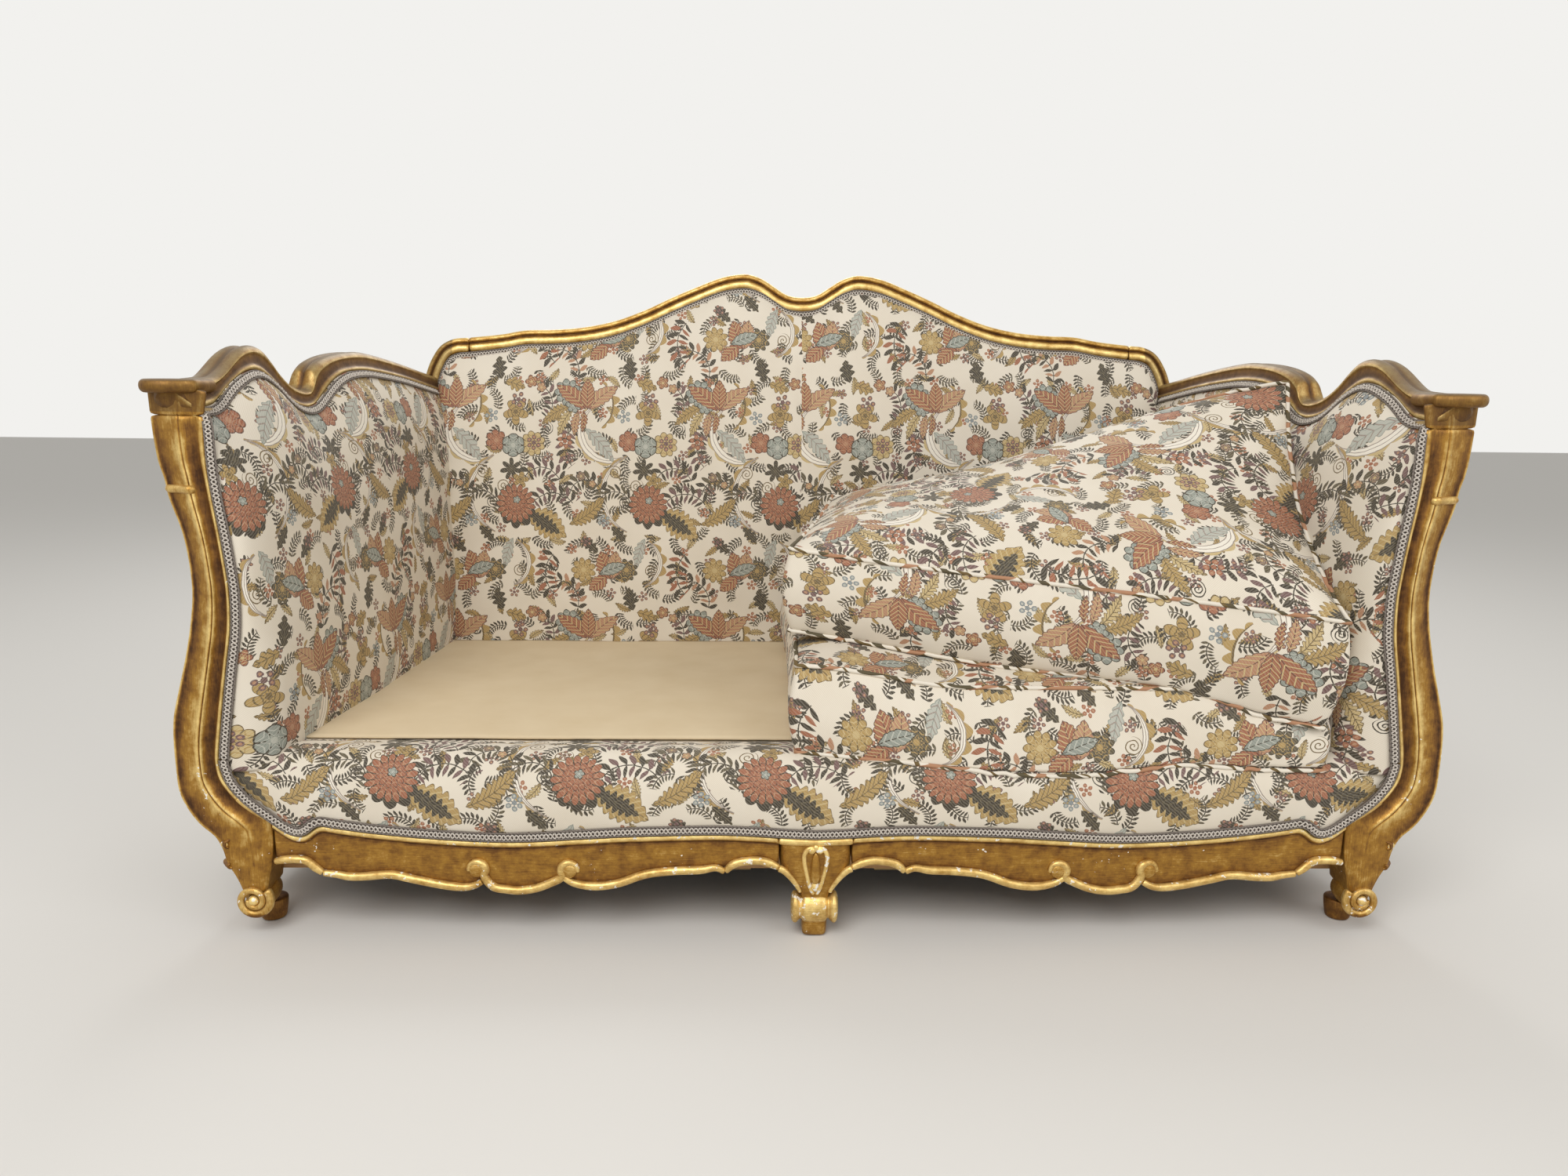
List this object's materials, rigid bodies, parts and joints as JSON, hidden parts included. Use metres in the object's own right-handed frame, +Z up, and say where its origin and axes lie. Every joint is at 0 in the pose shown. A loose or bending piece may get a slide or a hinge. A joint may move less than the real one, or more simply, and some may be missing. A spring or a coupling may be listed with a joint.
{
  "type": "baroque sofa",
  "caption": "Wide upholstered sofa with a carved gilded frame, waved crest and arms, scroll feet, sprung seat and loose box cushions stacked on one side.",
  "frame": {"origin": "on the floor, under the middle of the sofa's box", "axes": "+Z is up, -Y is the way the sofa faces, and +X is to the right as one looks at its front"},
  "size_m": [1.9402, 0.9749, 1.0781],
  "materials": {
    "gilt_wood": "carved beech, gilded and patinated, chipped to white gesso",
    "frame_wood": "plain sawn beech",
    "steel": "drawn steel wire and screws",
    "webbing": "woven jute webbing",
    "hessian": "coarse jute hessian",
    "stuffing": "hair, wadding and feather fill",
    "deck_linen": "plain tan linen",
    "brocade": "ivory brocade with woven flowers in rust, ochre, olive and slate",
    "outside_brocade": "the same brocade, stretched flat over the outside",
    "gimp_braid": "scrolling gimp braid"
  },
  "bodies": {
    "frame": {"back_centre_stile": "frame_wood", "back_gimp": "gimp_braid", "back_lower_rail": "frame_wood", "back_webbing": "webbing", "centre_leg": "gilt_wood", "corner_blocks": "frame_wood", "crest_rail": "gilt_wood", "deck_cloth": "deck_linen", "dust_cover": "hessian", "frame_dowels": "frame_wood", "frame_screws": "steel", "front_gimp": "gimp_braid", "front_roll": "brocade", "inner_front_rail": "frame_wood", "inside_back_pad": "brocade", "left_arm_gimp": "gimp_braid", "left_arm_rail": "gilt_wood", "left_arm_tack_rail": "frame_wood", "left_back_post": "gilt_wood", "left_front_post": "gilt_wood", "left_front_rail": "gilt_wood", "left_inside_arm_pad": "brocade", "left_outside_arm_panel": "outside_brocade", "left_seat_rail": "frame_wood", "outside_back_panel": "outside_brocade", "rear_seat_rail": "frame_wood", "right_arm_gimp": "gimp_braid", "right_arm_rail": "gilt_wood", "right_arm_tack_rail": "frame_wood", "right_back_post": "gilt_wood", "right_front_post": "gilt_wood", "right_front_rail": "gilt_wood", "right_inside_arm_pad": "brocade", "right_outside_arm_panel": "outside_brocade", "right_seat_rail": "frame_wood", "seat_springs": "steel", "seat_stretcher": "frame_wood", "seat_stuffing": "stuffing", "seat_webbing_cross": "webbing", "seat_webbing_long": "webbing", "spring_hessian": "hessian"},
    "lower_cushion": {"lower_cushion_cover": "brocade", "lower_cushion_core": "stuffing"},
    "upper_cushion": {"upper_cushion_cover": "brocade", "upper_cushion_core": "stuffing"}
  },
  "joints": [
    {"name": "lower_cushion_lift", "type": "slide", "parent": "frame", "child": "lower_cushion", "axis": [0, 0, 1], "range_m": [0, 0.6]},
    {"name": "upper_cushion_lift", "type": "slide", "parent": "lower_cushion", "child": "upper_cushion", "axis": [0, 0, 1], "range_m": [0, 0.5]}
  ]
}
